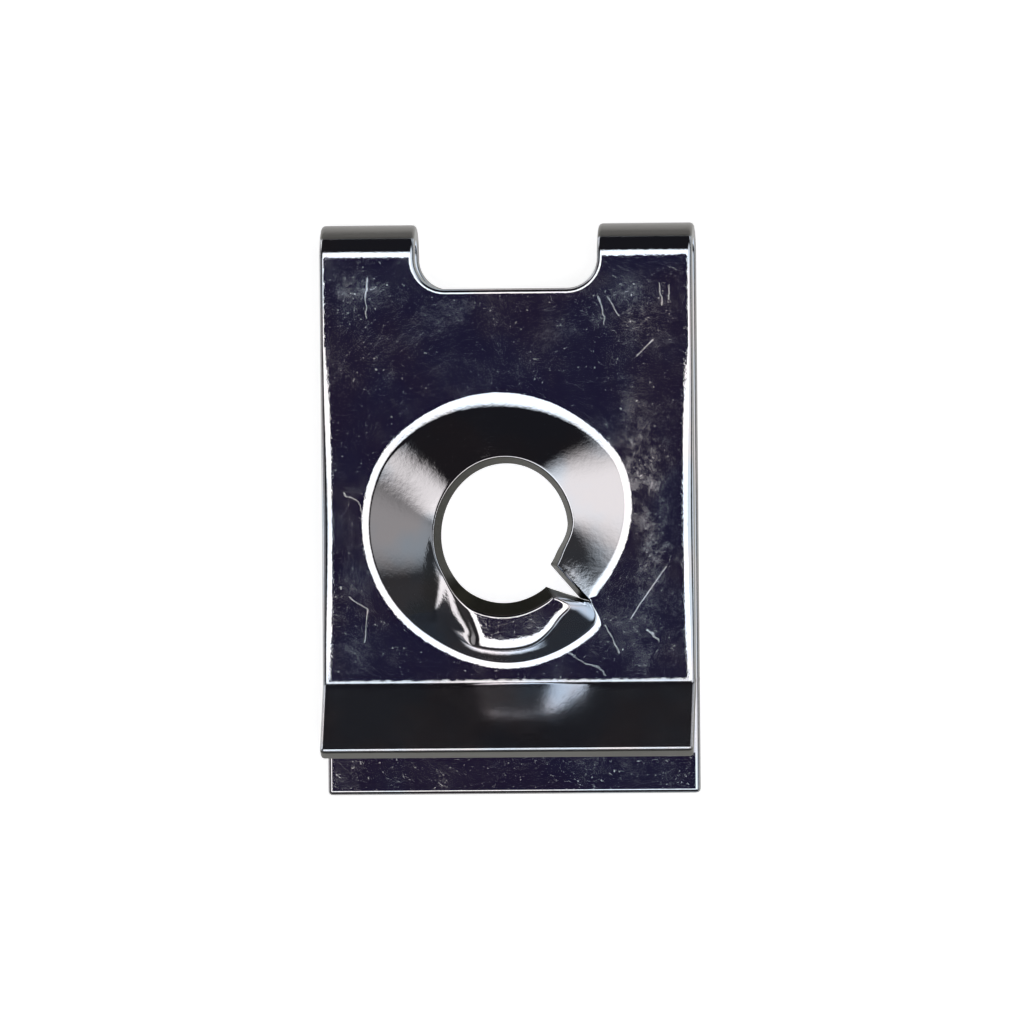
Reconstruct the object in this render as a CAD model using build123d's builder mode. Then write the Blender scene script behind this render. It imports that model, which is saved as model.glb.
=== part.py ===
"""U clip speed nut: one strip of spring steel, folded over the edge of a panel.

The screw passes the wide hole in the rear leg and the panel between the legs, and bites on the
helical edge of the thread form that stands out of the front leg.

Frame: the origin is on the screw's axis, in the outer face of the rear leg. +Z runs along the
axis towards the thread form, and +Y towards the fold. Lengths are millimetres, angles degrees.
"""

from build123d import *
from math import cos, hypot, radians, sin, sqrt
import os

# The sheet
sheet = 0.5            # thickness of the spring steel
width = 11.0           # across the strip
edge_round = 0.12      # tumbled edges of the blank

# The folded strip, measured along Y from the screw's axis
fold_reach = 9.07      # to the back of the fold
rear_reach = 7.73      # to the end of the rear leg
lip_start = 4.38       # to where the lip leaves the front leg
leg_gap = 0.9          # between the legs, for the panel
lip_length = 2.2       # straight part of the lip
lip_angle = 30.0       # how far the lip flares away from the rear leg
lip_bend = 0.25        # inside radius of the lip's bend

# The notch across the fold
notch_width = 5.4
notch_depth = 1.9
notch_corner = 0.9

# The holes for the screw
screw_way_radius = 3.2   # wide hole in the rear leg
hole_across = 3.6        # hole of the thread form, along X
hole_along = 4.0         # the same hole, along Y
hole_drift = 0.2         # how far the hole's edge winds outwards in its one turn
wall_lean = 0.22         # how far the hole's wall leans out through the sheet
crest_lean = 0.2         # what the wall leans more at the flat crest

# The thread form: a crown whose edge is one turn of a right-hand helix
thread_pitch = 1.6       # of the 4.8 mm tapping screw
low_lift = 0.3           # how high the helix starts above the front leg
crown_radius = 3.85      # of the crown's foot
crown_shift_x = -0.23    # the foot's centre from the screw's axis
crown_shift_y = 0.22
low_pinch = 0.6          # how far the foot is drawn in at the low end of the helix
high_swell = 0.2         # how far the foot is pushed out before the high end
crest_slope_run = 0.45   # width of the steep side under the flat crest
shoulder_round = 0.22    # length of the bends at the shoulder and the foot
slit_angle = -40.0       # where the slit ends, seen from the screw's axis
slit_reach = 3.1         # how far out the slit ends
slit_low_side = 138.0    # direction of the slit's two sides from its end
slit_high_side = 158.0

# Marks along the one turn of the thread form, in degrees from the slit
low_pinch_end = 75       # the foot is drawn in up to here
crest_start = 235        # the cone starts to become a flat crest
swell_start = 270
crest_full = 300         # the crest is fully flat
swell_full = 320
high_end_start = 340     # the high end closes from here to the slit
high_foot_start = 342    # its foot closes from here
high_foot_end = 358      # to here
full_turn = 360

# Small shapes of the thread form
skirt_dip = 8.0          # how steeply the crown runs into the front leg, degrees
skirt_short = 0.12       # reach of this skirt at the slit
skirt_long = 0.35        # what it reaches more elsewhere
skirt_change = 20        # over how much of the turn that changes
cone_bulge_out = 0.03    # how far the middle of the cone stands out, and up
cone_bulge_up = 0.05
crest_fall = 0.02        # how much lower the crest's outer side is than its edge
crest_loss = 0.7         # share of the crest that is gone at the slit
end_inset = 0.2          # how far inside the slit's end the high end's foot stays
slit_side_length = 2.2   # of the cut on each side, past the hole's edge

# Room that the cutting shapes need so that they cross the sheet cleanly
core_radius = 1.2        # inner wall of the crown, inside the hole
core_step = 0.4          # how much nearer the axis the cutting shapes reach
cut_margin = 0.2
brow = 0.25              # how far the crown runs on inside its edge

fold_radius = leg_gap / 2 + sheet
front_face = leg_gap + 2 * sheet
form_height = front_face + low_lift + thread_pitch


def ease(value, start, stop):
    """Rise smoothly from 0 at start to 1 at stop."""
    share = min(max((value - start) / (stop - start), 0.0), 1.0)
    return share * share * (3 - 2 * share)


def blend(first, second, share):
    """The point that lies a share of the way from first to second."""
    return first + (second - first) * share


def crest(turn):
    """How far the form is a flat crest with a steep side (1) rather than a plain cone (0)."""
    return ease(turn, crest_start, crest_full) - crest_loss * ease(turn, high_end_start, full_turn)


def edge_height(turn):
    """Height of the helical edge above the front leg."""
    return low_lift + thread_pitch * turn / full_turn


def hole_radius(turn):
    """The hole is an oval whose edge winds outwards a little."""
    angle = radians(slit_angle + turn)
    across, along = hole_across / 2, hole_along / 2
    oval = across * along / hypot(along * cos(angle), across * sin(angle))
    return oval + hole_drift * (turn / 180 - 1) ** 3


def edge_radius(turn):
    """The hole's wall leans, so that its upper edge is wider than the hole."""
    return hole_radius(turn) + wall_lean + crest_lean * crest(turn)


def foot_radius(turn):
    """The foot is a circle beside the axis, drawn in to the slit at both ends of the turn."""
    angle = radians(slit_angle + turn)
    inward = crown_shift_x * cos(angle) + crown_shift_y * sin(angle)
    beside = crown_shift_x * sin(angle) - crown_shift_y * cos(angle)
    circle = inward + sqrt(crown_radius**2 - beside**2)
    swollen = circle + high_swell * ease(turn, swell_start, swell_full)
    pinched = swollen - low_pinch * (1 - ease(turn, 0, low_pinch_end))
    return blend(pinched, slit_reach - end_inset, ease(turn, high_foot_start, high_foot_end))


def normal(start, stop):
    """The upward unit normal of a line that runs outwards and down."""
    run, drop = stop.X - start.X, start.Y - stop.Y
    return Vector(drop, run).normalized()


def inner_corner(corner, normal_before, normal_after, depth):
    """Move a corner of the outer face through the sheet to the inner face."""
    meeting = (normal_before + normal_after) / (1 + normal_before.dot(normal_after))
    return corner - meeting * depth


def form_section(turn, depth):
    """Section of the crown in the plane through the axis, from the face at this depth down."""
    edge = Vector(edge_radius(turn), edge_height(turn))
    foot = Vector(foot_radius(turn), 0)
    cone_middle = (edge + foot) / 2 + Vector(cone_bulge_out, cone_bulge_up)
    crest_side = Vector(foot.X - crest_slope_run, edge.Y - crest_fall)
    shoulder = blend(cone_middle, crest_side, crest(turn))
    top_normal = normal(edge, shoulder)
    side_normal = normal(shoulder, foot)
    skirt_normal = Vector(sin(radians(skirt_dip)), cos(radians(skirt_dip)))

    edge = edge - top_normal * depth
    shoulder = inner_corner(shoulder, top_normal, side_normal, depth)
    foot = inner_corner(foot, side_normal, Vector(0, 1), depth)
    top_way = Vector(top_normal.Y, -top_normal.X)
    side_way = Vector(side_normal.Y, -side_normal.X)
    skirt_way = Vector(skirt_normal.Y, -skirt_normal.X)

    brow_end = edge - top_way * brow
    shoulder_in = shoulder - top_way * shoulder_round
    shoulder_out = shoulder + side_way * shoulder_round
    foot_in = foot - side_way * shoulder_round
    whole = ease(turn, 0, skirt_change) - ease(turn, full_turn - skirt_change, full_turn)
    skirt = skirt_short + skirt_long * whole
    foot_out = foot + skirt_way * min(shoulder_round, skirt * 0.8)
    skirt_end = foot + skirt_way * skirt
    floor = -depth - sheet / 2
    core = core_radius - core_step * depth
    with BuildLine(Plane.XY, mode=Mode.PRIVATE) as outline:
        Line((core, brow_end.Y), brow_end)
        Line(brow_end, shoulder_in)
        Bezier(shoulder_in, shoulder, shoulder_out)
        Line(shoulder_out, foot_in)
        Bezier(foot_in, foot, foot_out)
        Line(foot_out, skirt_end)
        Line(skirt_end, (skirt_end.X, floor))
        Line((skirt_end.X, floor), (core, floor))
        Line((core, floor), (core, brow_end.Y))
    return outline.wire()


def hole_section(turn):
    """Section of the space inside the hole's leaning wall, in the same plane."""
    lean = edge_radius(turn) - hole_radius(turn)
    top = edge_height(turn) + sheet
    bottom = edge_height(turn) - sheet - cut_margin
    wide = edge_radius(turn) + lean
    narrow = hole_radius(turn) - lean * cut_margin / sheet
    inside = core_radius - core_step
    with BuildLine(Plane.XY, mode=Mode.PRIVATE) as outline:
        Polyline((inside, bottom), (narrow, bottom), (wide, top), (inside, top), close=True)
    return outline.wire()


def turn_plane(turn):
    """Plane through the screw's axis, with its origin level with the front leg's outer face."""
    angle = radians(slit_angle + turn)
    return Plane((0, 0, front_face), (cos(angle), sin(angle), 0), (sin(angle), -cos(angle), 0))


stations = [8, 16, 30, 45, 60, 75, 90, 105, 120, 135, 150, 165, 180, 195, 210, 225, 240, 252,
            264, 276, 288, 300, 312, 324, 334, 342, 348, 354]

# What the crown fills, from the front leg's outer face up
with BuildPart() as crown:
    for turn in [0.6, *stations, 359.4]:
        with BuildSketch(turn_plane(turn)):
            make_face(form_section(turn, 0).edges())
    loft()

# The hollow under the crown, one sheet deeper
with BuildPart() as crown_hollow:
    for turn in [0.3, *stations, 359.7]:
        with BuildSketch(turn_plane(turn)):
            make_face(form_section(turn, sheet).edges())
    loft()

# The space inside the helical edge
with BuildPart() as edge_space:
    for turn in [0.1, *stations, 359.9]:
        with BuildSketch(turn_plane(turn)):
            make_face(hole_section(turn).edges())
    loft()

with BuildPart() as u_clip:
    # Side view of the strip: its outer face from the rear leg's end, round the fold, to the lip
    with BuildSketch(Plane.YZ):
        with BuildLine():
            rear = Line((-rear_reach, 0), (fold_reach - fold_radius, 0))
            fold = JernArc(rear @ 1, rear % 1, fold_radius, 180)
            front = Line(fold @ 1, (-lip_start, front_face))
            bend = JernArc(front @ 1, front % 1, lip_bend, -lip_angle)
            lip = Line(bend @ 1, bend @ 1 + (bend % 1) * lip_length)
            offset(amount=sheet, side=Side.LEFT)
        make_face()
    extrude(amount=width / 2, both=True)

    # Notch across the fold, through both legs
    with BuildSketch(Plane.XY):
        with Locations((0, fold_reach - notch_depth)):
            Rectangle(notch_width, 2 * notch_depth, align=(Align.CENTER, Align.MIN))
        fillet(vertices().group_by(Axis.Y)[0], notch_corner)
    extrude(amount=front_face, mode=Mode.SUBTRACT)
    fillet(edges(), edge_round)

    # Wide hole in the rear leg
    with BuildSketch(Plane.XY):
        Circle(screw_way_radius)
    extrude(amount=sheet, mode=Mode.SUBTRACT)

    # Thread form
    slit_end = Vector(slit_reach, 0).rotate(Axis.Z, slit_angle)
    with BuildSketch(Plane.XY.offset(sheet + leg_gap / 4), mode=Mode.PRIVATE) as slit:
        with BuildLine():
            low_side = PolarLine(slit_end, slit_side_length, slit_low_side)
            high_side = PolarLine(slit_end, slit_side_length, slit_high_side)
            Line(low_side @ 1, high_side @ 1)
        make_face()
        Circle(core_radius + cut_margin)
    extrude(slit.sketch, amount=form_height, mode=Mode.SUBTRACT)
    add(crown.part)
    add(crown_hollow.part, mode=Mode.SUBTRACT)
    add(edge_space.part, mode=Mode.SUBTRACT)
    extrude(slit.sketch, amount=form_height, mode=Mode.SUBTRACT)

u_clip.part.label = "u_clip"
os.makedirs("parts", exist_ok=True)
export_step(u_clip.part, "parts/u_clip.step")
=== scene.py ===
# %% [markdown]
# # A U clip speed nut, from its flat blank to the finished part
# A U clip is one strip of spring steel. A press cuts the blank, raises the thread form round the
# screw's hole, turns up the lip and folds the strip over. The mesh could be carved out of blocks
# with booleans, but their cuts leave edges that don't follow a pressed surface. So this lesson goes
# the press's own way: first the flat blank with all its edges, and then the forming.

# %% [markdown]
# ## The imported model
# The solid part is in the scene from the start, in metres. The strip's width, and how far its fold
# and its rear leg reach, are read from the solid's box, so that the two stay the same size. The
# mesh is made in millimetres, because Blender's tools are at home with sizes near one, and it is
# shrunk to metres last.

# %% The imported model
import bpy
import numpy as np
from math import atan2, cos, degrees, hypot, pi, radians, sin, sqrt
from mathutils import Matrix, Vector


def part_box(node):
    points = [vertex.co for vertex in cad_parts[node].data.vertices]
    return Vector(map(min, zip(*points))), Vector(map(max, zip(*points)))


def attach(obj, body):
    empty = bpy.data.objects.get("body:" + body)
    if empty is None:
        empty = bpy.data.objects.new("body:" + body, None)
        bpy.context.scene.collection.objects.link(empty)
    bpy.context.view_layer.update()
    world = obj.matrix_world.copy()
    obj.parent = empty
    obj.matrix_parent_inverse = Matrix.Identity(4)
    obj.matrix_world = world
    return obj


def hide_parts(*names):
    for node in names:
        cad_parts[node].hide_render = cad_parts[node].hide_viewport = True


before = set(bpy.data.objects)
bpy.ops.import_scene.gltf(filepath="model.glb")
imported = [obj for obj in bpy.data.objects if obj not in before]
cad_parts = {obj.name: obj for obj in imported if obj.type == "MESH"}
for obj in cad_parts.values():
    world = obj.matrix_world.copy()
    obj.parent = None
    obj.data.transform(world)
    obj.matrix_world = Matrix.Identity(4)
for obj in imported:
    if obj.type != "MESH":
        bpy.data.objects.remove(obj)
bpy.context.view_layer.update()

mm_per_metre = 1000
cad_low, cad_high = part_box("u_clip")
half_width = cad_high.x * mm_per_metre
fold_reach = cad_high.y * mm_per_metre
rear_reach = -cad_low.y * mm_per_metre
print("strip, mm:", round(2 * half_width, 2), "wide")
print("its y, mm: from", round(-rear_reach, 2), "to", round(fold_reach, 2))

# %% [markdown]
# ## Sizes of the strip
# A strip could be drawn folded, but then its length round each bend is a guess. On a flat blank the
# length is known, and every hole is where the die cuts it. On this blank, x runs across and y runs
# along the outer face: up the front leg, round the fold and down the rear leg. The screw's axis is
# at zero. The sizes are those of the solid part.

# %% Sizes of the strip
sheet = 0.5                             # thickness of the steel
leg_gap = 0.9                           # between the legs, where the panel goes
front_face = leg_gap + 2 * sheet        # height of the front leg's outer face
fold_radius = leg_gap / 2 + sheet       # of the fold's outer face
fold_start = fold_reach - fold_radius
fold_middle = fold_start + pi * fold_radius / 2
rear_axis = 2 * fold_middle             # the screw's axis again, in the rear leg
lip_start = 4.38                        # from the axis to the lip's bend
lip_length = 2.2
lip_angle = radians(30)
lip_bend = 0.25                         # radius of the bend on the outer face
notch_half = 2.7
notch_bottom = fold_reach - 1.9
notch_corner = 0.9
screw_way_radius = 3.2                  # of the hole in the rear leg
print("fold starts at y", round(fold_start, 3), "and the rear hole is at y", round(rear_axis, 3))

# %% [markdown]
# ## Helpers for selecting
# By hand, edges are picked with the mouse and then extruded. A script picks them by where they are.
# One helper selects edges by the place of their ends, one moves what is selected to new places, and
# one extrudes it.

# %% Helpers for selecting
close = 0.001                           # mm, near enough to lie on a line


def pick(piece, test, keep=False):
    """Select the edges whose two ends both pass a test of x and y, and go to edit mode.

    With keep, only edges that were selected before stay selected.
    """
    bpy.ops.object.mode_set(mode="OBJECT")
    mesh = piece.data
    passed = [test(v.co.x, v.co.y) for v in mesh.vertices]
    was = [e.select for e in mesh.edges]
    mesh.polygons.foreach_set("select", [False] * len(mesh.polygons))
    mesh.vertices.foreach_set("select", [False] * len(mesh.vertices))
    for edge in mesh.edges:
        first, last = edge.vertices
        edge.select = passed[first] and passed[last] and (was[edge.index] or not keep)
        if edge.select:
            mesh.vertices[first].select = mesh.vertices[last].select = True
    bpy.ops.object.mode_set(mode="EDIT")


def move_picked(piece, place):
    """Give every selected vertex the x and y that place returns for it."""
    bpy.ops.object.mode_set(mode="OBJECT")
    for vertex in piece.data.vertices:
        if vertex.select:
            vertex.co.x, vertex.co.y = place(vertex.co.x, vertex.co.y)
    bpy.ops.object.mode_set(mode="EDIT")


def extrude(x=0.0, y=0.0):
    """Extrude the selected edges by a step in the sheet's plane."""
    bpy.ops.mesh.extrude_edges_move(TRANSFORM_OT_translate={"value": (x, y, 0)})


# %% [markdown]
# ## Rows of the ring
# Round the screw's hole the sheet will be drawn up into a crown. Even rows of faces would be wasted
# on its flat parts, or too coarse where it turns, so the rows are crowded where the bends will be:
# at the hole's edge, at the top of the steep side and at its foot. On the blank, a point's distance
# from the screw's axis is called rho.

# %% Rows of the ring
full_turn = 360
turn_steps = 360                        # faces round the ring
slit_angle = -40.4                      # of the slit, in degrees from +X
slit_half = 1.1                         # half of the slit's width, in degrees
slit_blunt = 3.6                        # the rho from which the slit closes
hole_rho = 1.6                          # becomes the hole's edge
shoulder_rho = 2.4                      # becomes the top of the steep side
foot_rho = 3.4                          # becomes the foot of the crown
ring_rho = 3.7                          # the last row, flat like the leg
hole_border = (0.09, 0.14)              # narrow rows, so that the hole's edge can be rounded


def rows(start, stop, count, crowd):
    """Places from start to stop, crowded towards both ends where crowd is near 1."""
    even = np.linspace(0, 1, count)
    crowded = 0.5 - 0.5 * np.cos(pi * even)
    return start + (stop - start) * (even + (crowded - even) * crowd)


stations = np.concatenate([
    [hole_rho, hole_rho + hole_border[0]],
    rows(hole_rho + hole_border[1], shoulder_rho, count=15, crowd=0.5),
    rows(shoulder_rho, foot_rho, count=30, crowd=0.9)[1:],
    rows(foot_rho, slit_blunt, count=9, crowd=0.3)[1:],
    [ring_rho],
])
print("ring:", len(stations), "rows, from rho", hole_rho, "to", ring_rho)

# %% [markdown]
# ## The slit ring
# The thread form is slit along one radius, so that its two ends can rise apart. A boolean could cut
# the slit, but it would leave long thin faces that crease when they are pressed. Instead a plain
# grid is rolled round the screw's axis, like a label round a tin. The two ends of the grid are the
# sides of the slit, and only their outermost points are merged.

# %% The slit ring
def slit_half_angle(rho):
    """Half of the slit's width on the blank, in degrees, closing to a blunt point at its end."""
    return slit_half * np.clip((ring_rho - rho) / (ring_rho - slit_blunt), 0, 1)


bpy.ops.object.select_all(action="DESELECT")
bpy.ops.mesh.primitive_grid_add(x_subdivisions=len(stations) - 1, y_subdivisions=turn_steps, size=1)
clip = bpy.context.object
clip.name = clip.data.name = "clip_strip"
for vertex in clip.data.vertices:
    rho = stations[round((vertex.co.x + 0.5) * (len(stations) - 1))]
    gap = slit_half_angle(rho)
    angle = radians(slit_angle + gap + (full_turn - 2 * gap) * (vertex.co.y + 0.5))
    vertex.co = (rho * cos(angle), rho * sin(angle), 0)
bpy.ops.object.mode_set(mode="EDIT")
bpy.ops.mesh.select_mode(type="EDGE")
bpy.ops.mesh.select_all(action="SELECT")
bpy.ops.mesh.remove_doubles(threshold=0.0005)
bpy.ops.object.mode_set(mode="OBJECT")
print("ring:", len(clip.data.vertices), "points; faces up:", clip.data.polygons[0].normal.z > 0)

# %% [markdown]
# ## The front leg's frame
# The leg round the ring is flat and rectangular. Filling it in one piece would leave its faces to
# chance, so it grows out of the ring: the ring's outer edge is extruded, and the new points go out
# to a rectangle. Its sides are then extruded to the edges of the strip, with a few columns close
# together there, for the rounding that the blanking die leaves.

# %% The front leg's frame
frame_half, frame_low, frame_high = 4.9, -4.31, 4.9
side_columns = [5.1, 5.19, 5.26, 5.33, half_width]
corners = [(x, y) for x in (-frame_half, frame_half) for y in (frame_low, frame_high)]
no_limit = 99


def to_frame(x, y):
    """Move a point of the ring straight outwards to the rectangle, or to its nearby corner."""
    for corner in corners:
        apart = (atan2(y, x) - atan2(corner[1], corner[0]) + pi) % (2 * pi) - pi
        if -pi / turn_steps <= apart < pi / turn_steps:
            return corner
    limits = [frame_half / abs(x) if x else no_limit]
    limits.append((frame_high if y > 0 else frame_low) / y if y else no_limit)
    return x * min(limits), y * min(limits)


pick(clip, lambda x, y: hypot(x, y) > ring_rho - close)
extrude()
move_picked(clip, to_frame)
for side in (-1, 1):
    pick(clip, lambda x, y: x * side > frame_half - close)
    last = frame_half
    for column in side_columns:
        extrude(x=side * (column - last))
        last = column
bpy.ops.object.mode_set(mode="OBJECT")
print("frame:", len(clip.data.vertices), "points")

# %% [markdown]
# ## The notch
# A notch across the fold leaves two straps, which makes the fold springy. It could be cut out of a
# full strip, but its round corners would then miss the rows of faces. So the rows next to it follow
# its corners, with a narrow border that keeps its edge even. Three small functions say where.

# %% The notch
strap_columns = 9
arc_steps = 12
notch_border = 0.16
corner_x = notch_half - notch_corner
corner_y = notch_bottom + notch_corner
wide_corner = notch_corner + notch_border


def spaced_row(count):
    """The x of every point of the row that borders the notch, from left to right."""
    arc = [corner_x + wide_corner * sin(radians(90 * i / arc_steps)) for i in range(1, arc_steps + 1)]
    strap = list(np.linspace(corner_x + wide_corner, frame_half, strap_columns)[1:]) + side_columns
    half = arc + strap
    middle = np.linspace(-corner_x, corner_x, count - 2 * len(half))
    return [-x for x in reversed(half)] + list(middle) + half


def border_line(x):
    """The y of the row that borders the notch at x, and of the straps' first row."""
    out = min(max(abs(x) - corner_x, 0), wide_corner)
    return corner_y - sqrt(wide_corner ** 2 - out ** 2)


def to_notch(x, y):
    """Move a point of the bordering row to the notch's edge."""
    if abs(x) <= corner_x:
        return x, y + notch_border
    middle = corner_x if x > 0 else -corner_x
    shrink = notch_corner / wide_corner
    return middle + (x - middle) * shrink, corner_y + (y - corner_y) * shrink


border_places = [round(border_line(x), 2) for x in (0, corner_x, frame_half)]
print("y of the notch's border at its middle, its corner and the strap:", border_places)

# %% [markdown]
# ## The straps
# The frame's top row is extruded and its points are spaced again along the notch. Those under the
# notch go up to its edge. Only the two straps go on, in narrow rows, to the middle of the fold.

# %% The straps
strap_rows = 24
any_step = 0.6                          # each point of the new row gets its own place next
pick(clip, lambda x, y: y > frame_high - close)
extrude(y=any_step)
bpy.ops.object.mode_set(mode="OBJECT")
row = sorted((v for v in clip.data.vertices if v.select), key=lambda v: v.co.x)
for vertex, x in zip(row, spaced_row(len(row))):
    vertex.co.x = x
bpy.ops.object.mode_set(mode="EDIT")
extrude()
move_picked(clip, lambda x, y: (x, border_line(x)))
border_half = notch_half + notch_border
border_bottom = notch_bottom - notch_border
pick(clip, lambda x, y: abs(x) < border_half + close and y > border_bottom - close)
extrude()
move_picked(clip, to_notch)
pick(clip, lambda x, y: y > corner_y - close)
extrude(y=fold_start - corner_y)
for step in range(strap_rows):
    extrude(y=(fold_middle - fold_start) / strap_rows)
bpy.ops.object.mode_set(mode="OBJECT")
print("straps reach y", round(max(v.co.y for v in clip.data.vertices), 3))

# %% [markdown]
# ## The rear leg
# The rear leg lies behind the panel and has a plain hole, wide enough for the screw to pass. It
# could be built as the front leg was. But on the flat blank it mirrors that leg across the middle of
# the fold, so it is a mirrored copy without the ring, merged along the fold. Its opening is then
# drawn in to the screw's hole, and its last row goes out to the end of the leg. Many small steps
# leave the straps' last rows a hair apart, so they are merged with a wider reach.

# %% The rear leg
strap_drift = 0.002
for face in clip.data.polygons:
    face.select = hypot(face.center.x, face.center.y) > ring_rho
bpy.ops.object.mode_set(mode="EDIT")
bpy.ops.mesh.select_mode(type="FACE")
bpy.ops.mesh.duplicate()
bpy.ops.transform.resize(value=(1, -1, 1), center_override=(0, fold_middle, 0))
bpy.ops.mesh.flip_normals()
bpy.ops.mesh.select_mode(type="EDGE")
pick(clip, lambda x, y: abs(y - fold_middle) < strap_drift)
bpy.ops.mesh.remove_doubles(threshold=strap_drift)
pick(clip, lambda x, y: abs(hypot(x, y - rear_axis) - ring_rho) < close)
bpy.ops.mesh.extrude_edges_move()
shrink = screw_way_radius / ring_rho
bpy.ops.transform.resize(value=(shrink, shrink, 1), center_override=(0, rear_axis, 0))
pick(clip, lambda x, y: y > rear_axis - frame_low - close)
extrude(y=rear_reach + frame_low)
bpy.ops.object.mode_set(mode="OBJECT")
print("with the rear leg:", len(clip.data.polygons), "faces")

# %% [markdown]
# ## The lip
# A lip at the open end flares away from the rear leg and guides the clip onto the panel. A bend
# needs rows of faces to go round, so the bottom row is extruded through the bend in small steps,
# and then to the lip's end. The blank is now whole, and can be measured.

# %% The lip
bend_rows = 8
pick(clip, lambda x, y: y < frame_low + close)
extrude(y=-lip_start - frame_low)
for step in range(bend_rows):
    extrude(y=-lip_bend * lip_angle / bend_rows)
extrude(y=-lip_length)
bpy.ops.object.mode_set(mode="OBJECT")
lengthwise = [v.co.y for v in clip.data.vertices]
print("blank:", len(clip.data.polygons), "faces, all up:", all(f.normal.z > 0.99 for f in clip.data.polygons))
print("blank, mm:", round(2 * half_width, 1), "wide and", round(max(lengthwise) - min(lengthwise), 1), "long")

# %% [markdown]
# ## Thickness and tumbled edges
# Solidify gives the blank its thickness under the outer face. A finished clip has no sharp edge,
# since it is tumbled before it is plated. A Bevel modifier alone would round all edges alike. Edit
# mode's bevel can round the outline more than the thread form, where tumbling hardly reaches.

# %% Thickness and tumbled edges
edge_round = 0.12
thread_round = 0.05
sharp_from = radians(50)
form_reach = ring_rho + 0.01


def apply_modifier(piece, kind, **settings):
    """Add a modifier with these settings and apply it."""
    modifier = piece.modifiers.new(kind.title(), kind)
    for name, value in settings.items():
        setattr(modifier, name, value)
    bpy.ops.object.modifier_apply(modifier=modifier.name)


apply_modifier(clip, "SOLIDIFY", thickness=sheet, offset=-1, use_rim=True)
for in_form, size in ((False, edge_round), (True, thread_round)):
    bpy.ops.object.mode_set(mode="EDIT")
    bpy.ops.mesh.select_all(action="DESELECT")
    bpy.ops.mesh.edges_select_sharp(sharpness=sharp_from)
    pick(clip, lambda x, y: (hypot(x, y) < form_reach) == in_form, keep=True)
    bpy.ops.mesh.bevel(offset=size, segments=4, profile=0.5, clamp_overlap=False)
bpy.ops.object.mode_set(mode="OBJECT")
print("with edges:", len(clip.data.polygons), "faces")

# %% [markdown]
# ## The blank's cut edges
# The walls that the die sheared stay duller than the rolled faces. On the finished clip they would
# be hard to find, since pressed walls look every way. On the flat blank they are just the points
# whose normals lie over, so a value is kept at each point now, for the material to read.

# %% The blank's cut edges
def ease(value, start, stop):
    """Rise smoothly from 0 at start to 1 at stop, for a number or for many."""
    share = np.clip((np.asarray(value, float) - start) / (stop - start), 0, 1)
    return share * share * (3 - 2 * share)


def mix(first, second, share):
    """What lies a share of the way from first to second."""
    return first + (second - first) * share


upright = np.array([abs(v.normal.z) for v in clip.data.vertices])
cut_edge = 1 - ease(upright, 0.4, 0.85)
clip.data.attributes.new("cut_edge", "FLOAT", "POINT").data.foreach_set("value", cut_edge.astype("f"))
print("points on cut edges:", int((cut_edge > 0.5).sum()))

# %% [markdown]
# ## The edge that holds the screw
# The press raises the ring into a crown whose inner edge is one turn of a helix, and that edge is
# all the thread there is. A screw modifier would give a helix of one section, but here the section
# changes all the way round. So each part of it is a function of the turn, in degrees from the slit.
# The first functions give the hole's edge: it climbs, and runs out level on a flat crest.

# %% The edge that holds the screw
half_turn = 180
low_lift = 0.3                          # height of the edge at the low end
level_lift = 1.76                       # and on the crest
level_from, level_to = 232, 318         # turns between which the climb runs out
crest_from, crest_to = 266, 301         # turns between which the cone becomes a crest
crest_haste = 1.6
hole_across, hole_along = 3.66, 4.0
hole_drift = 0.12                       # how far the edge winds outwards in half a turn
low_tongue = 0.22                       # how far the low end leans into the hole
tongue_from, tongue_to = 14, 52


def crest(turn):
    """How far the form is a flat crest with a steep side rather than a plain cone."""
    return 1 - (1 - ease(turn, crest_from, crest_to)) ** crest_haste


def edge_height(turn):
    """The edge climbs along a helix and runs out level on the crest."""
    share = min(max((turn - level_from) / (level_to - level_from), 0), 1)
    levelling = (level_to - level_from) * (share - share ** 3 + share ** 4 / 2)
    climbed = min(turn, level_from) + levelling
    return low_lift + (level_lift - low_lift) * climbed / ((level_from + level_to) / 2)


def hole_radius(turn):
    """The hole is an oval whose edge winds outwards a little."""
    angle = radians(slit_angle + turn)
    across, along = hole_across / 2, hole_along / 2
    oval = across * along / hypot(along * cos(angle), across * sin(angle))
    wound = hole_drift * (turn / half_turn - 1) ** 3
    return oval + wound - low_tongue * (1 - ease(turn, tongue_from, tongue_to))


for turn in (0, 90, 180, 270, 360):
    reached = round(float(hole_radius(turn)), 2), round(edge_height(turn), 2)
    print("turn", turn, "edge at radius and height", reached)

# %% [markdown]
# ## The foot of the crown
# The foot is where the crown rises from the flat leg. A plain circle is close, but the real foot is
# off centre, tighter at the low end and fuller at the high end, and at the slit it closes in to
# where the slit stops. So it starts as a circle beside the axis, and smooth steps draw it in.

# %% The foot of the crown
crown_radius = 3.85
crown_shift_x, crown_shift_y = -0.23, 0.22
low_pinch, pinch_to = 0.55, 75          # how much tighter, and up to which turn
high_swell, swell_from, swell_to = 0.2, 270, 320
slit_reach = 3.17                       # how far out the slit goes
closing_margin = 0.08                   # the foot closes to this far inside the slit's end
low_closing, high_closing = 8, 14       # degrees over which each end closes


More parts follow.
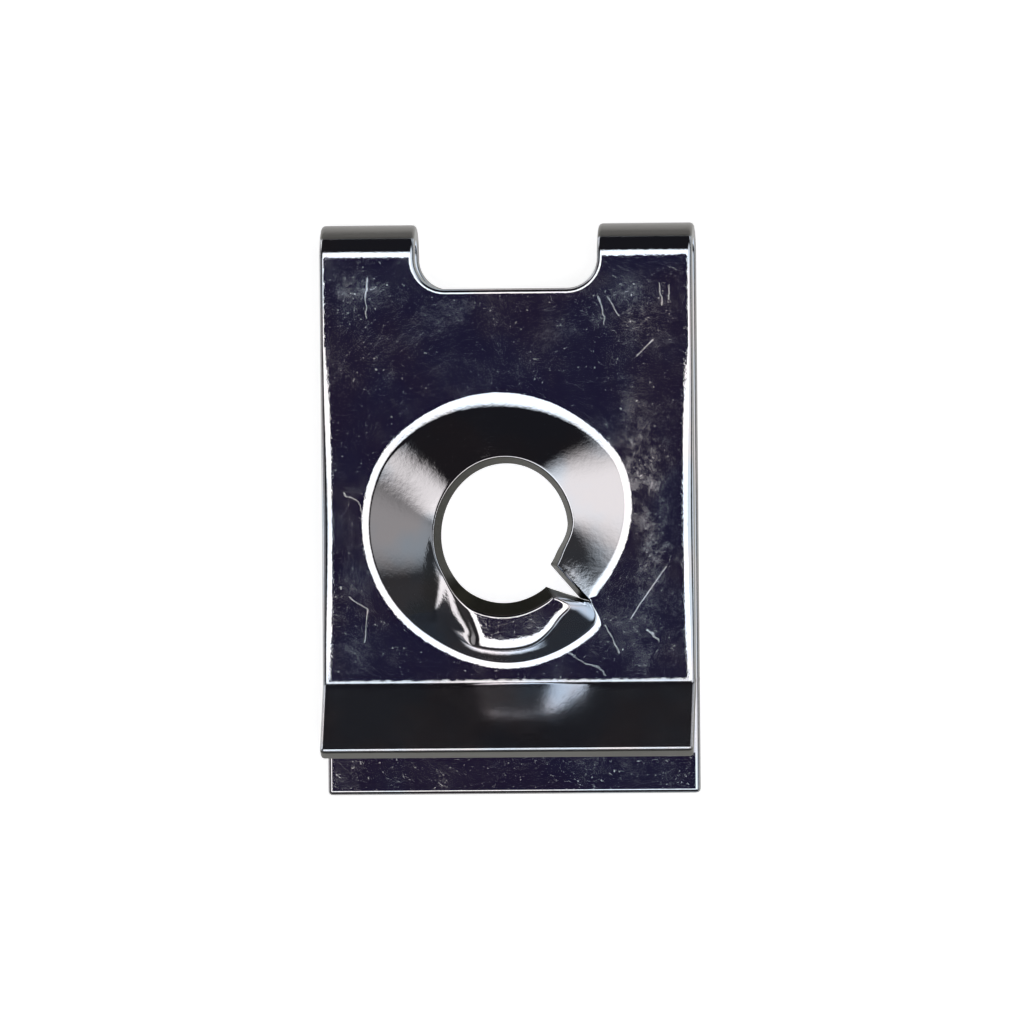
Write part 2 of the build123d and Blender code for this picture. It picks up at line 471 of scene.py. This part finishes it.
def foot_radius(turn):
    """The foot is a circle beside the axis, drawn in to the slit at both ends of the turn."""
    angle = radians(slit_angle + turn)
    inward = crown_shift_x * cos(angle) + crown_shift_y * sin(angle)
    beside = crown_shift_x * sin(angle) - crown_shift_y * cos(angle)
    circle = inward + sqrt(crown_radius ** 2 - beside ** 2)
    swollen = circle + high_swell * ease(turn, swell_from, swell_to)
    pinched = swollen - low_pinch * (1 - ease(turn, 0, pinch_to))
    low_end = max(min((low_closing - turn) / low_closing, 1), 0) ** 2
    high_start = full_turn - high_closing
    high_end = max(min((turn - high_start) / high_closing, 1), 0) ** 5
    return mix(pinched, slit_reach - closing_margin, low_end + high_end)


print("foot radius:", [round(float(foot_radius(turn)), 2) for turn in (0, 30, 90, 180, 270, 340, 360)])

# %% [markdown]
# ## The soft edge of the foot
# Where the punch's round nose pressed the sheet, the foot isn't a sharp line. Towards the fold a
# soft band lies inside it, and on the other sides the sheet rolls over softly just outside it.
# Tilts this small hardly change the shape, but they catch the light as a bright ring. A bump in
# the material could fake them from above only, so they are modelled.

# %% The soft edge of the foot
roll_slope, band_slope, band_start_slope = 0.23, 0.2, 0.035
fold_side, fold_side_spread = 91, 62    # the direction of the fold, and how far round it counts
thinnest = 0.001                        # a width that is never quite nothing
roll_least, roll_more = 0.03, 0.3
band_most = 0.45
slit_margin = 5                         # degrees beside the slit with no roll
ring_margin = 0.36                      # from the foot out to the ring's last points


def towards_fold(turn):
    """1 where the foot looks to the fold, falling to 0 at its two sides."""
    away = min(abs(slit_angle + turn - fold_side) / fold_side_spread, 1)
    return cos(radians(90 * away)) ** 1.5


def away_from_slit(turn):
    """0 at both sides of the slit and 1 from a few degrees on."""
    return ease(turn, 0, slit_margin) * ease(full_turn - turn, 0, slit_margin)


def roll_width(turn):
    """Width of the soft roll outside the foot."""
    width = roll_least + roll_more * (1 - towards_fold(turn)) ** 2
    return width * away_from_slit(turn) + thinnest


def band_width(turn):
    """Width of the soft band inside the foot."""
    return thinnest + band_most * towards_fold(turn)


def ring_radius(turn):
    """How far out the ring's last points go."""
    return foot_radius(turn) + mix(closing_margin, ring_margin, away_from_slit(turn))


print("roll width:", [round(float(roll_width(turn)), 2) for turn in (0, 60, 131, 220, 300)])
print("band width:", [round(float(band_width(turn)), 2) for turn in (0, 60, 131, 220, 300)])

# %% [markdown]
# ## Heights from slopes
# A section of the crown runs from its foot up a steep side to the hole's edge. A curve through a
# few points would swing between them. Here the slopes are chosen instead, and the heights come
# from adding them up, so the surface has no dent that a reflection would show.

# %% Heights from slopes
crest_slope = 0.005                     # of the crest, which is all but level
brink_slope = 0.26                      # how much more the crest slopes at its brink
foot_blend = (0.03, 0.06)               # where the steep side begins, before and after the band's end
band_blend = 0.1                        # and how much longer that takes inside a band
shoulder_blend = (0.05, 0.03)           # where the crest begins, round the shoulder


def height_along(radius, top, shoulder, foot, ground, level, soft):
    """Heights along a section that reaches the top, by adding up its slopes from the ring in.

    The steep side is as steep as that takes. Inside the shoulder the slope is the same on a plain
    cone, and almost level where level is 1. What is soft is given by the widths of the roll and the
    band, how strong they are, how much of a band there is, and the width of the crest's brink.
    """
    inward = foot - radius
    roll, band, strength, banding, brink_width = soft
    rolled = roll_slope * strength * np.clip(1 + inward / roll, 0, 1) ** 2
    band_start = mix(roll_slope, band_start_slope, banding)
    banded = strength * mix(band_start, band_slope, np.clip(inward / band, 0, 1))
    given = np.where(inward < 0, rolled, banded)
    steep = ease(inward, band - foot_blend[0], band + foot_blend[1] + band_blend * banding)
    over = ease(shoulder - radius, -shoulder_blend[0], shoulder_blend[1]) * level
    brink = crest_slope + brink_slope * np.clip((radius - shoulder) / brink_width + 1, 0, 1)
    parts = np.array([given * (1 - steep) + brink * steep * over, steep * (1 - over)])
    middles = (parts[:, 1:] + parts[:, :-1]) / 2 * np.diff(radius)
    risen = np.zeros_like(parts)
    risen[:, :-1] = np.cumsum(middles[:, ::-1], axis=1)[:, ::-1]
    slope = (top - ground - risen[0, 0]) / risen[1, 0]
    return ground + risen[0] + slope * risen[1], slope


# %% [markdown]
# ## The section of the crown
# Most of the crown is a plain cone. On the crest the section turns at a shoulder and goes on almost
# level, and towards the high end's nose the steep side grows wider. The inner face is the outer one
# moved in by the sheet's thickness, so that the sheet stays as thick as it was.

# %% The section of the crown
side_run, nose_run = 0.32, 0.74         # from the foot in to the crest's shoulder
nose_from, nose_to = 322, 350
side_brink, nose_brink = 0.34, 0.16     # width of the crest's brink
brink_from, brink_to = 318, 342
wall_lean, crest_lean = 0.21, 0.2       # how far the hole's wall leans, and more on the crest
least_top, least_side = 0.1, 0.2        # what always stays beside the shoulder
samples = np.linspace(hole_rho, ring_rho, 500)


def section(turn):
    """Radius and height along the blank's rho, for the outer face and for the inner face."""
    share = crest(turn)
    hole, foot, ring = hole_radius(turn), foot_radius(turn), ring_radius(turn)
    edge, top = hole + wall_lean + crest_lean * share, edge_height(turn)
    run = mix(side_run, nose_run, ease(turn, nose_from, nose_to))
    on_cone = (edge + foot - band_width(turn)) / 2
    shoulder = mix(on_cone, max(foot - run, edge + least_top), share)
    marks = [hole_rho, shoulder_rho, foot_rho, ring_rho]
    outer_r = np.interp(samples, marks, [edge, shoulder, foot, ring])
    brink_width = mix(side_brink, nose_brink, ease(turn, brink_from, brink_to))
    soft = (roll_width(turn), band_width(turn), 1.0, towards_fold(turn), brink_width)
    outer_z, low = height_along(outer_r, top, shoulder, foot, 0, share, soft)

    high = mix(low, crest_slope, share)
    side_normal = np.array([low, 1]) / hypot(low, 1)
    top_normal = np.array([high, 1]) / hypot(high, 1)
    inner_foot = foot - side_normal[0] / (1 + side_normal[1]) * sheet
    meeting = (side_normal + top_normal) / (1 + side_normal @ top_normal) * sheet
    inner_shoulder = min(max(shoulder - meeting[0], hole + least_top), inner_foot - least_side)
    inner_top = top + high * (edge - hole) - sheet * hypot(high, 1)
    inner_r = np.interp(samples, marks, [hole, inner_shoulder, inner_foot, ring])
    plain = (thinnest, thinnest, 0.0, 0.0, side_brink)
    inner_z, low = height_along(inner_r, inner_top, inner_shoulder, inner_foot, -sheet, share, plain)
    return np.array([outer_r, outer_z, inner_r, inner_z])


for turn in (5, 60, 130, 220, 300, 350):
    shape = section(turn)
    print("turn", turn, "edge at", np.round(shape[:, 0], 2), "ring at", np.round(shape[:, -1], 2))

# %% [markdown]
# ## Pressing the crown
# The press moves the sheet and keeps it whole, and so does this step: no face is added, and every
# point of the ring goes to its place in the section. A point between the two faces goes to the same
# share of the way between them. The flat leg just outside the ring moves along with it, so that no
# row is crushed.

# %% Pressing the crown
follows_from, follows_to = 0.03, 0.5    # how far outside the ring the flat leg moves along
same_turn = 0.0006                      # degrees, just more than rounding can move a turn
points = np.array([v.co for v in clip.data.vertices])
rho = np.hypot(points[:, 0], points[:, 1])
in_reach = np.nonzero(rho < ring_rho + follows_to)[0]
x, y, depth = points[in_reach, 0], points[in_reach, 1], -points[in_reach, 2]
rho = rho[in_reach]
gap = slit_half_angle(rho)
turned = (np.degrees(np.arctan2(y, x)) - slit_angle) % full_turn
turned = full_turn * np.clip((turned - gap) / (full_turn - 2 * gap), 0, 1)
radius, height = np.empty(len(in_reach)), np.empty(len(in_reach))
for turn in np.unique(np.round(turned, 3)):
    here = np.abs(turned - turn) < same_turn
    shape = [np.interp(rho[here], samples, line) for line in section(float(turn))]
    share = depth[here] / sheet
    fading = 1 - ease(rho[here], ring_rho + follows_from, ring_rho + follows_to)
    shift = (ring_radius(float(turn)) - ring_rho) * fading
    outside = rho[here] > ring_rho
    radius[here] = np.where(outside, rho[here] + shift, mix(shape[0], shape[2], share))
    height[here] = np.where(outside, -depth[here], mix(shape[1], shape[3], share))
print("pressed:", len(in_reach), "points, up to", round(float(height.max()), 3), "mm over the front leg")

# %% [markdown]
# ## Opening the slit
# The slit's two sides aren't on one radius: pressing pulls them apart into a wedge, and each runs
# its own way from the slit's end. On the inner face the wedge ends a little nearer to the hole. So
# each side gets an angle of its own at every radius, and the points between the sides are spread
# evenly round the turn.

# %% Opening the slit
outer_end = (slit_reach, slit_angle)    # radius and direction of the slit's end, outer face
inner_end = (2.83, -43.5)               # and on the inner face
low_ways = (132, 130)                   # which way the low side runs, outer and inner face
high_ways = (171, 156)
closed_by = slit_reach + 0.05           # beyond this radius both sides are one


def slit_side(radius, end_radius, end_angle, way):
    """Degrees from the slit's angle to one side of the slit, at a distance from the axis."""
    way = radians(way - end_angle)
    along = end_radius * cos(way)
    inside = np.minimum(radius, end_radius)
    step = -along - np.sqrt(np.maximum(along ** 2 - end_radius ** 2 + inside ** 2, 0))
    side = np.degrees(np.arctan2(step * sin(way), end_radius + step * cos(way)))
    closing = 1 - ease(radius, end_radius, closed_by)
    return side + (end_angle - slit_angle) * closing


def slit_turn(ways):
    """Degrees to one side of the slit for every pressed point, by its radius and its depth."""
    outer = slit_side(radius, *outer_end, ways[0])
    inner = slit_side(radius, *inner_end, ways[1])
    return mix(outer, inner, depth / sheet)


low_turn, high_turn = slit_turn(low_ways), slit_turn(high_ways)
angle = np.radians(slit_angle + low_turn + turned / full_turn * (full_turn + high_turn - low_turn))
points[in_reach] = np.column_stack([radius * np.cos(angle), radius * np.sin(angle), height])
print("slit sides, degrees:", np.round([low_turn.min(), low_turn.max(), high_turn.min(), high_turn.max()], 1))

# %% [markdown]
# ## Bending the strip
# The blanking die rolls the long edges of the front leg over a little, most beside the crown. Then
# the lip turns up and the strip folds over. A Simple Deform modifier could make each bend, but both
# would have to be limited and placed by trial. The formulas for a bend are short, and they keep the
# outer face's length: a point goes round by its y, on a circle whose radius depends on its depth.

# %% Bending the strip
roll_in, roll_drop = 0.3, 0.1           # how wide the rolled edge is, and how far it drops
roll_centre, roll_spread = 0.3, 3.2
x, y, z = points.T.copy()
beside = np.clip((np.abs(x) - half_width + roll_in) / roll_in, 0, 1)
waist = np.exp(-((y - roll_centre) / roll_spread) ** 2)
z = z - roll_drop * waist * beside ** 2

bent = np.clip((-lip_start - y) / lip_bend, 0, lip_angle)
beyond = np.clip(-lip_start - y - lip_bend * lip_angle, 0, None)
on_lip = y < -lip_start
lip_y = -lip_start - (lip_bend - z) * np.sin(bent) - beyond * np.cos(bent)
lip_z = lip_bend - (lip_bend - z) * np.cos(bent) + beyond * np.sin(bent)

bent = np.clip((y - fold_start) / fold_radius, 0, pi)
beyond = np.clip(y - fold_start - pi * fold_radius, 0, None)
on_fold = y > fold_start
fold_y = fold_start + (fold_radius + z) * np.sin(bent) - beyond
fold_z = -fold_radius + (fold_radius + z) * np.cos(bent)

y = np.where(on_lip, lip_y, np.where(on_fold, fold_y, y))
z = np.where(on_lip, lip_z, np.where(on_fold, fold_z, z)) + front_face
clip.data.vertices.foreach_set("co", np.column_stack([x, y, z]).ravel())
clip.data.update()
print("bent, mm: y from", round(y.min(), 3), "to", round(y.max(), 3), "and z up to", round(z.max(), 3))

# %% [markdown]
# ## Smooth shading, and the clip's place
# A mirror finish shows every facet, so the faces are shaded smooth. Plain smooth shading would let
# the narrow bevels tilt the flat faces beside them. Weighted normals let the large faces decide,
# and are worked out in millimetres, where their limits fit. Then the clip shrinks to metres. It is
# the whole part, so it rides on the root and takes the solid's place.

# %% Smooth shading, and the clip's place
bpy.ops.object.shade_smooth()
apply_modifier(clip, "WEIGHTED_NORMAL", mode="FACE_AREA", weight=85, thresh=0.003)
clip.data.transform(Matrix.Scale(1 / mm_per_metre, 4))
places = np.array([v.co for v in clip.data.vertices]) * mm_per_metre
print("clip, mm:", np.round(places.min(0), 3), np.round(places.max(0), 3))
print("solid part, mm:", [round(c * mm_per_metre, 3) for c in (*cad_low, *cad_high)])

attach(clip, "root")
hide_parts("u_clip")

# %% [markdown]
# ## Helpers for nodes
# A material is a graph of small nodes. By hand, each is added, set and linked. Here one call stands
# for each kind of node, so that a finish reads like a sum. `tree` is the graph that is being built:
# first the zinc's, and later the floor's and the studio's.

# %% Helpers for nodes
def feed(socket, value):
    """Link an input to another node's output, or set it to a plain value."""
    if isinstance(value, bpy.types.NodeSocket):
        tree.links.new(value, socket)
    else:
        socket.default_value = value


def maths(operation, *values):
    """A Math node over outputs or numbers."""
    node = tree.nodes.new("ShaderNodeMath")
    node.operation = operation
    for socket, value in zip(node.inputs, values):
        feed(socket, value)
    return node.outputs["Value"]


def vectors(operation, *values):
    """A Vector Math node over outputs or vectors. A length or a dot product gives a number."""
    node = tree.nodes.new("ShaderNodeVectorMath")
    node.operation = operation
    for socket, value in zip(node.inputs, values):
        feed(socket, value)
    return node.outputs["Value" if operation in ("LENGTH", "DOT_PRODUCT") else "Vector"]


# %% [markdown]
# ## Helpers for patterns
# These put the plain nodes together: a smooth step up or down, a mix of two colours, a sum of many
# values, and a cloudy noise. Nearly all of a worn finish is made of steps on noise.

# %% Helpers for patterns
def step_up(value, start, stop):
    """A Map Range node that rises smoothly from 0 at start to 1 at stop."""
    node = tree.nodes.new("ShaderNodeMapRange")
    node.interpolation_type = "SMOOTHSTEP"
    feed(node.inputs["Value"], value)
    feed(node.inputs["From Min"], start)
    feed(node.inputs["From Max"], stop)
    return node.outputs["Result"]


def step_down(value, start, stop):
    """The other way round: 1 at start, falling smoothly to 0 at stop."""
    return maths("SUBTRACT", 1, step_up(value, start, stop))


def mixed(share, first, second):
    """A Mix node between two colours, which are its inputs 6 and 7, and its output 2."""
    node = tree.nodes.new("ShaderNodeMix")
    node.data_type = "RGBA"
    feed(node.inputs[0], share)
    for socket, value in ((node.inputs[6], first), (node.inputs[7], second)):
        feed(socket, (*value, 1) if isinstance(value, tuple) else value)
    return node.outputs[2]


def weighted(*pairs):
    """The sum of several values, each times its own weight."""
    result = 0
    for value, weight in pairs:
        result = maths("MULTIPLY_ADD", value, weight, result)
    return result


def noise(scale, detail, roughness=0.5, distortion=0.0, shift=0.0):
    """Cloudy noise over the part, with this many waves to the millimetre.

    A shift takes it from another place, so that two noises don't look alike.
    """
    node = tree.nodes.new("ShaderNodeTexNoise")
    feed(node.inputs["Scale"], scale)
    feed(node.inputs["Detail"], detail)
    feed(node.inputs["Roughness"], roughness)
    feed(node.inputs["Distortion"], distortion)
    feed(node.inputs["Vector"], vectors("ADD", spot, (shift, shift, shift)))
    return node.outputs["Fac"]


# %% [markdown]
# ## The colour of bright zinc
# The steel is barrel plated with bright zinc under a thin blue passivation, so it mirrors what is
# round it, with a cool tint that drifts from place to place. One flat colour would look like
# chrome, so a slow noise mixes two near tints. A band on the outside of the fold gets a painted
# grey shade in its colour, and it is dull. The walls that the die sheared are coarse and greyer,
# and the walls inside the crown, in the hole and the slit, are darkest with painted shade. The
# patterns read the place on the part itself, in millimetres.

# %% The colour of bright zinc
warm_zinc, cool_zinc = (0.82, 0.78, 0.80), (0.70, 0.78, 0.88)
# painted grey shade for the band on the outside of the fold
painted_fold_shade = (0.19, 0.185, 0.175)
# cut walls are greyer; those inside the crown, in the hole and the slit, are darkened further with painted
# shade
crown_wall_and_shade, outline_wall = (0.05, 0.048, 0.038), (0.17, 0.168, 0.155)

zinc = bpy.data.materials.new("bright_zinc")
zinc.use_nodes = True
tree = zinc.node_tree
place = tree.nodes.new("ShaderNodeTexCoord").outputs["Object"]
spot = vectors("MULTIPLY", place, (mm_per_metre, mm_per_metre, mm_per_metre))
flat_spot = vectors("MULTIPLY", spot, (1, 1, 0))
split = tree.nodes.new("ShaderNodeSeparateXYZ")
feed(split.inputs[0], spot)
spot_y, spot_z = split.outputs["Y"], split.outputs["Z"]
cut = tree.nodes.new("ShaderNodeAttribute")
cut.attribute_name = "cut_edge"
on_wall = cut.outputs["Fac"]

# the band on the outside of the fold, which gets painted shade in its colour and is also dull
fold_shade_band = step_up(spot_y, fold_reach - 0.45, fold_reach - 0.38)
plated = mixed(step_up(noise(0.35, detail=3), 0.4, 0.62), warm_zinc, cool_zinc)
on_faces = mixed(fold_shade_band, plated, painted_fold_shade)
# the walls in the hole and the slit get painted shade, the outline's walls their plain grey
walls_and_shade = mixed(step_up(vectors("LENGTH", flat_spot), 3.1, 3.4), crown_wall_and_shade, outline_wall)
shader = tree.nodes["Principled BSDF"]
shader.inputs["Metallic"].default_value = 1
feed(shader.inputs["Base Color"], mixed(on_wall, on_faces, walls_and_shade))
print("zinc so far:", len(tree.nodes), "nodes")

# %% [markdown]
# ## Haze, clouds and specks
# Tumbling against other clips dulls the mirror in scuffed patches and leaves tiny nicks. Such wear
# hardly changes the colour. It spreads the reflection, so all of it goes into the roughness. A
# painted map could hold it, but noise with a sharp step gives specks, noise near its middle value
# gives fine hairs, and oval patches say where the haze lies.

# %% Haze, clouds and specks
haze_patches = [
    # x, y, half width, half length, strength
    (3.9, 1.9, 1.6, 2.9, 1.3),
    (4.4, -0.4, 1.0, 2.2, 1),
    (3.9, 6.6, 1.7, 1.5, 1),
    (-4.2, 7.1, 1.4, 0.8, 1),
    (4.2, -2.6, 2.4, 2.4, 0.4),
    (-4.4, -2.2, 1.5, 3.0, 0.3),
]


def hairs(scale, width, shift):
    """Fine curved lines where a cloudy noise passes its middle value."""
    cloud = noise(scale, detail=1.5, roughness=0.4, distortion=0.6, shift=shift)
    away = maths("ABSOLUTE", maths("SUBTRACT", cloud, 0.5))
    return step_down(away, 0, width)


def patch(x, y, across, along):
    """1 at this place, falling off to 0 at the rim of an oval round it."""
    near = vectors("MULTIPLY_ADD", spot, (1 / across, 1 / along, 0), (-x / across, -y / along, 0))
    return step_down(vectors("LENGTH", near), 0, 1)


streaks = step_up(noise(2.6, detail=9, roughness=0.8, distortion=0.3, shift=3), 0.38, 0.66)
hazy = weighted(*((patch(*oval), strength) for *oval, strength in haze_patches))
haze = maths("MULTIPLY", hazy, streaks)
clouds = step_up(noise(0.6, detail=9, roughness=0.78, distortion=0.2, shift=9), 0.43, 0.68)
specks = step_up(noise(9, detail=2, roughness=0.6, shift=5), 0.67, 0.73)
broken = step_up(noise(0.9, detail=4, roughness=0.6, shift=21), 0.50, 0.60)
fine_hairs = maths("MULTIPLY", hairs(0.8, width=0.0022, shift=70), broken)
print("haze lies in", len(haze_patches), "patches")

# %% [markdown]
# ## Long scratches
# A few deeper scratches cross the front leg, where clips slid over each other. Random lines would
# fall anywhere, so each scratch is a straight stroke between two places. A slow noise moves the
# place where the stroke is looked up, and that makes it wander as a real one does.

# %% Long scratches
scratch_lines = [
    ((-4.09, 7.5), (-4.09, 6.35)), ((4.53, 7.26), (4.58, 6.6)), ((4.85, 7.24), (4.82, 6.8)),
    ((2.72, 6.9), (2.93, 6.1)), ((2.98, 6.85), (3.3, 6.3)), ((3.88, 5.16), (4.26, 5.54)),
    ((-4.82, 1.2), (-4.31, 0.82)), ((-4.31, 0.82), (-4.24, 0.2)), ((-4.7, -1.87), (-4.18, -2.26)),
    ((-4.18, -2.26), (-4.24, -3.2)), ((3.56, -2.64), (4.64, -1.1)), ((1.7, -3.53), (2.9, -4.2)),
    ((2.85, -2.76), (3.24, -3.6)), ((4.1, -2.9), (4.4, -3.3)),
]
wander = 0.35                           # how far the noise moves a place, at most
scratch_core, scratch_rim = 0.008, 0.028


def stroke(place, start, stop):
    """Distance from a place to the straight stroke between start and stop."""
    line = Vector((stop[0] - start[0], stop[1] - start[1], 0))
    leg = vectors("SUBTRACT", place, (*start, 0))
    share = vectors("DOT_PRODUCT", leg, line / line.length_squared)
    share = maths("MINIMUM", maths("MAXIMUM", share, 0), 1)
    return vectors("LENGTH", vectors("MULTIPLY_ADD", share, -line, leg))


slow = noise(1.4, detail=3, roughness=0.6, shift=55)
wandering = vectors("MULTIPLY_ADD", slow, (wander, wander, 0), flat_spot)
nearest = 1
for start, stop in scratch_lines:
    start, stop = ((x + wander / 2, y + wander / 2) for x, y in (start, stop))
    nearest = maths("MINIMUM", stroke(wandering, start, stop), nearest)
scratches = step_down(nearest, scratch_core, scratch_rim)
print("scratches:", len(scratch_lines))

# %% [markdown]
# ## How rough the zinc is
# All the wear comes together here, on a mirror that is never quite perfect. The lip's bend has a
# worn line, the lip and the crown's crest are rubbed, and the cut walls are dull. The plating also
# follows the steel's slight waviness. That is far too fine to model, so it is a bump of a few
# thousandths of a millimetre, which makes the rims of the reflections ragged.

# %% How rough the zinc is
mirror, wall_dullness = 0.04, 0.3
waviness = 0.0027 / mm_per_metre

bend_away = maths("ABSOLUTE", maths("ADD", spot_y, lip_start + 0.02))
ragged = noise(5, detail=3, roughness=0.6, shift=77)
bend_line = step_down(weighted((ragged, 0.16), (bend_away, 1)), 0.1, 0.17)
over_lip = step_up(maths("MULTIPLY", spot_y, -1), lip_start, lip_start + 0.3)
over_lip = maths("MULTIPLY", over_lip, step_up(spot_z, 2 * sheet, front_face))
crest_rub = patch(0.3, -2.6, across=2.3, along=1.3)
dull = maths("MAXIMUM", on_wall, fold_shade_band)
worn = maths("MAXIMUM", maths("MAXIMUM", specks, scratches), maths("MULTIPLY", fine_hairs, 0.5))
roughness = weighted(
    (clouds, 0.035),
    (haze, 0.06),
    (worn, 0.085),
    (over_lip, 0.12),
    (crest_rub, 0.02),
    (bend_line, 0.16),
    (dull, wall_dullness),
)
feed(shader.inputs["Roughness"], maths("ADD", roughness, mirror))

bump = tree.nodes.new("ShaderNodeBump")
feed(bump.inputs["Strength"], 1)
feed(bump.inputs["Distance"], waviness)
feed(bump.inputs["Height"], noise(7, detail=3, roughness=0.6, shift=31))
feed(shader.inputs["Normal"], bump.outputs["Normal"])
clip.data.materials.clear()
clip.data.materials.append(zinc)
print("bright zinc:", len(tree.nodes), "nodes")

# %% [markdown]
# ## The floor
# The clip lies on plain white paper, and its polished sides mirror that paper. A stronger lamp could
# bring the paper up to white, but it would wash out the clip. So the paper glows a little itself,
# to the camera and in reflections only. Where it is looked along it fades to dark, as a table ends
# in a dark room: steep polished sides need some dark in them to look like metal.

# %% The floor
paper_shade, dark_shade = (0.85, 0.85, 0.85), (0.02, 0.02, 0.02)
paper_glow = 0.75

bpy.ops.object.select_all(action="DESELECT")
bpy.ops.mesh.primitive_plane_add(size=6, location=(0, 0, 0))
floor = bpy.context.object
floor.name = "floor"
white = bpy.data.materials.new("white_floor")
white.use_nodes = True
tree = white.node_tree
ray = tree.nodes.new("ShaderNodeLightPath").outputs
mirrored = maths("MAXIMUM", ray["Is Glossy Ray"], ray["Is Transmission Ray"])
seen = maths("MAXIMUM", ray["Is Camera Ray"], mirrored)
lying_over = tree.nodes.new("ShaderNodeLayerWeight").outputs["Facing"]
near_by = step_down(lying_over, 0.742, 0.885)
paper = tree.nodes["Principled BSDF"]
paper.inputs["Roughness"].default_value = 0.8
feed(paper.inputs["Base Color"], mixed(near_by, dark_shade, paper_shade))
glow = tree.nodes.new("ShaderNodeEmission")
feed(glow.inputs["Strength"], maths("MULTIPLY", maths("MULTIPLY", seen, near_by), paper_glow))
both = tree.nodes.new("ShaderNodeAddShader")
feed(both.inputs[0], paper.outputs[0])
feed(both.inputs[1], glow.outputs[0])
feed(tree.nodes["Material Output"].inputs["Surface"], both.outputs[0])
floor.data.materials.append(white)
print("floor:", round(floor.dimensions.x, 1), "m across")

# %% [markdown]
# ## The camera
# A small part is shown from far away with a long lens, so that its sides stay parallel. A camera
# with no perspective at all would also do that, but then every place on the flat leg would mirror
# the very same spot of the studio. It looks down on the clip from a little to the right.

# %% The camera
camera_distance, field = 0.54, 0.030    # metres, and how much of the floor fits in
yaw, roll = radians(5.0), radians(0.5)
target = Vector((0.08, 0.645, 1.9)) / mm_per_metre
sensor_width = 36

toward = Vector((sin(yaw), 0, cos(yaw)))
up = Vector((sin(roll), cos(roll), 0))
right = up.cross(toward).normalized()
up = toward.cross(right)
turning = Matrix((right, up, toward)).transposed().to_4x4()
camera = bpy.data.objects.new("camera", bpy.data.cameras.new("camera"))
bpy.context.scene.collection.objects.link(camera)
camera.matrix_world = Matrix.Translation(target + toward * camera_distance) @ turning
camera.data.sensor_width = sensor_width
camera.data.lens = sensor_width * camera_distance / field
camera.data.clip_start, camera.data.clip_end = 0.05, 5
bpy.context.scene.camera = camera
bpy.context.scene.view_settings.view_transform = "Standard"
print("camera:", round(camera.data.lens), "mm lens at", round(camera_distance, 2), "m")

# %% [markdown]
# ## The studio
# A polished clip shows the studio more than itself. Lamps with hard rims would draw hard shapes in
# it. So the studio is one world of soft lobes, each given by the direction that it lies in: a lobe
# is a smooth step on the cosine of the angle to its middle.

# %% The studio
studio = bpy.data.worlds.new("studio")
bpy.context.scene.world = studio
studio.use_nodes = True
tree = studio.node_tree
direction = tree.nodes.new("ShaderNodeTexCoord").outputs["Generated"]


def way(azimuth, lean):
    """The unit vector that leans this far from straight up, towards this azimuth from +X."""
    azimuth, lean = radians(azimuth), radians(lean)
    return Vector((cos(azimuth) * sin(lean), sin(azimuth) * sin(lean), cos(lean)))


def towards(centre):
    """The cosine of the angle between the direction looked in and this one."""
    return vectors("DOT_PRODUCT", direction, centre)


def soft_box(centre, edge, core, strength):
    """A round soft light, full inside the core angle and fading out at the edge angle."""
    lobe = step_up(towards(centre), cos(radians(edge)), cos(radians(core)))
    return maths("MULTIPLY", lobe, strength)


print("a light that leans 45 degrees to +X lies towards", np.round(way(0, 45), 2))

# %% [markdown]
# ## The studio's lights
# A broad light hangs overhead, with a small dark gap just where the flat leg mirrors it: the leg
# stays dark, and all that tilts a little shines. Windows at the sides light the cone, and the
# horizon glows beyond the fold. The room is dark elsewhere, because a clip with light all round it
# would look like white plastic.

# %% The studio's lights
room_shade = (0.012, 0.011, 0.013)
gap_shade = (0.012, 0.009, 0.028)
to_fold, to_lip, straight_up = Vector((0, 1, 0)), Vector((0, -1, 0)), Vector((0, 0, 1))
overhead = way(180, degrees(yaw))
dark_gap = soft_box(overhead, edge=4.3, core=3.2, strength=1)
ring_light = soft_box(overhead, edge=32, core=18, strength=1.5)
ring_light = maths("MULTIPLY", ring_light, step_down(towards(to_fold), 0.26, 0.36))
ring_light = maths("MULTIPLY", ring_light, step_down(towards(to_lip), 0.36, 0.46))
ring_light = maths("MULTIPLY", ring_light, maths("SUBTRACT", 1, dark_gap))
near_horizon = step_down(towards(straight_up), 0.17, 0.27)
beyond_fold = maths("MULTIPLY", near_horizon, step_up(towards(to_fold), 0.3, 0.8))
left_window = soft_box(way(148, 78), edge=17, core=4, strength=0.9)
left_wall = soft_box(way(178, 80), edge=25, core=5, strength=0.3)
right_window = soft_box(way(7, 44), edge=36, core=8, strength=0.95)
lip_side = step_up(towards(to_lip), 0.0, 0.5)
light = weighted(
    (ring_light, 1),
    (left_window, 1),
    (left_wall, 1),
    (right_window, 1),
    (beyond_fold, 0.9),
    (lip_side, 0.025),
)
level = tree.nodes.new("ShaderNodeCombineColor")
for socket, base in zip(level.inputs, room_shade):
    feed(socket, maths("ADD", light, base))
background = tree.nodes["Background"]
feed(background.inputs["Color"], mixed(dark_gap, level.outputs[0], gap_shade))
feed(background.inputs["Strength"], 1)
print("studio:", len(tree.nodes), "nodes")
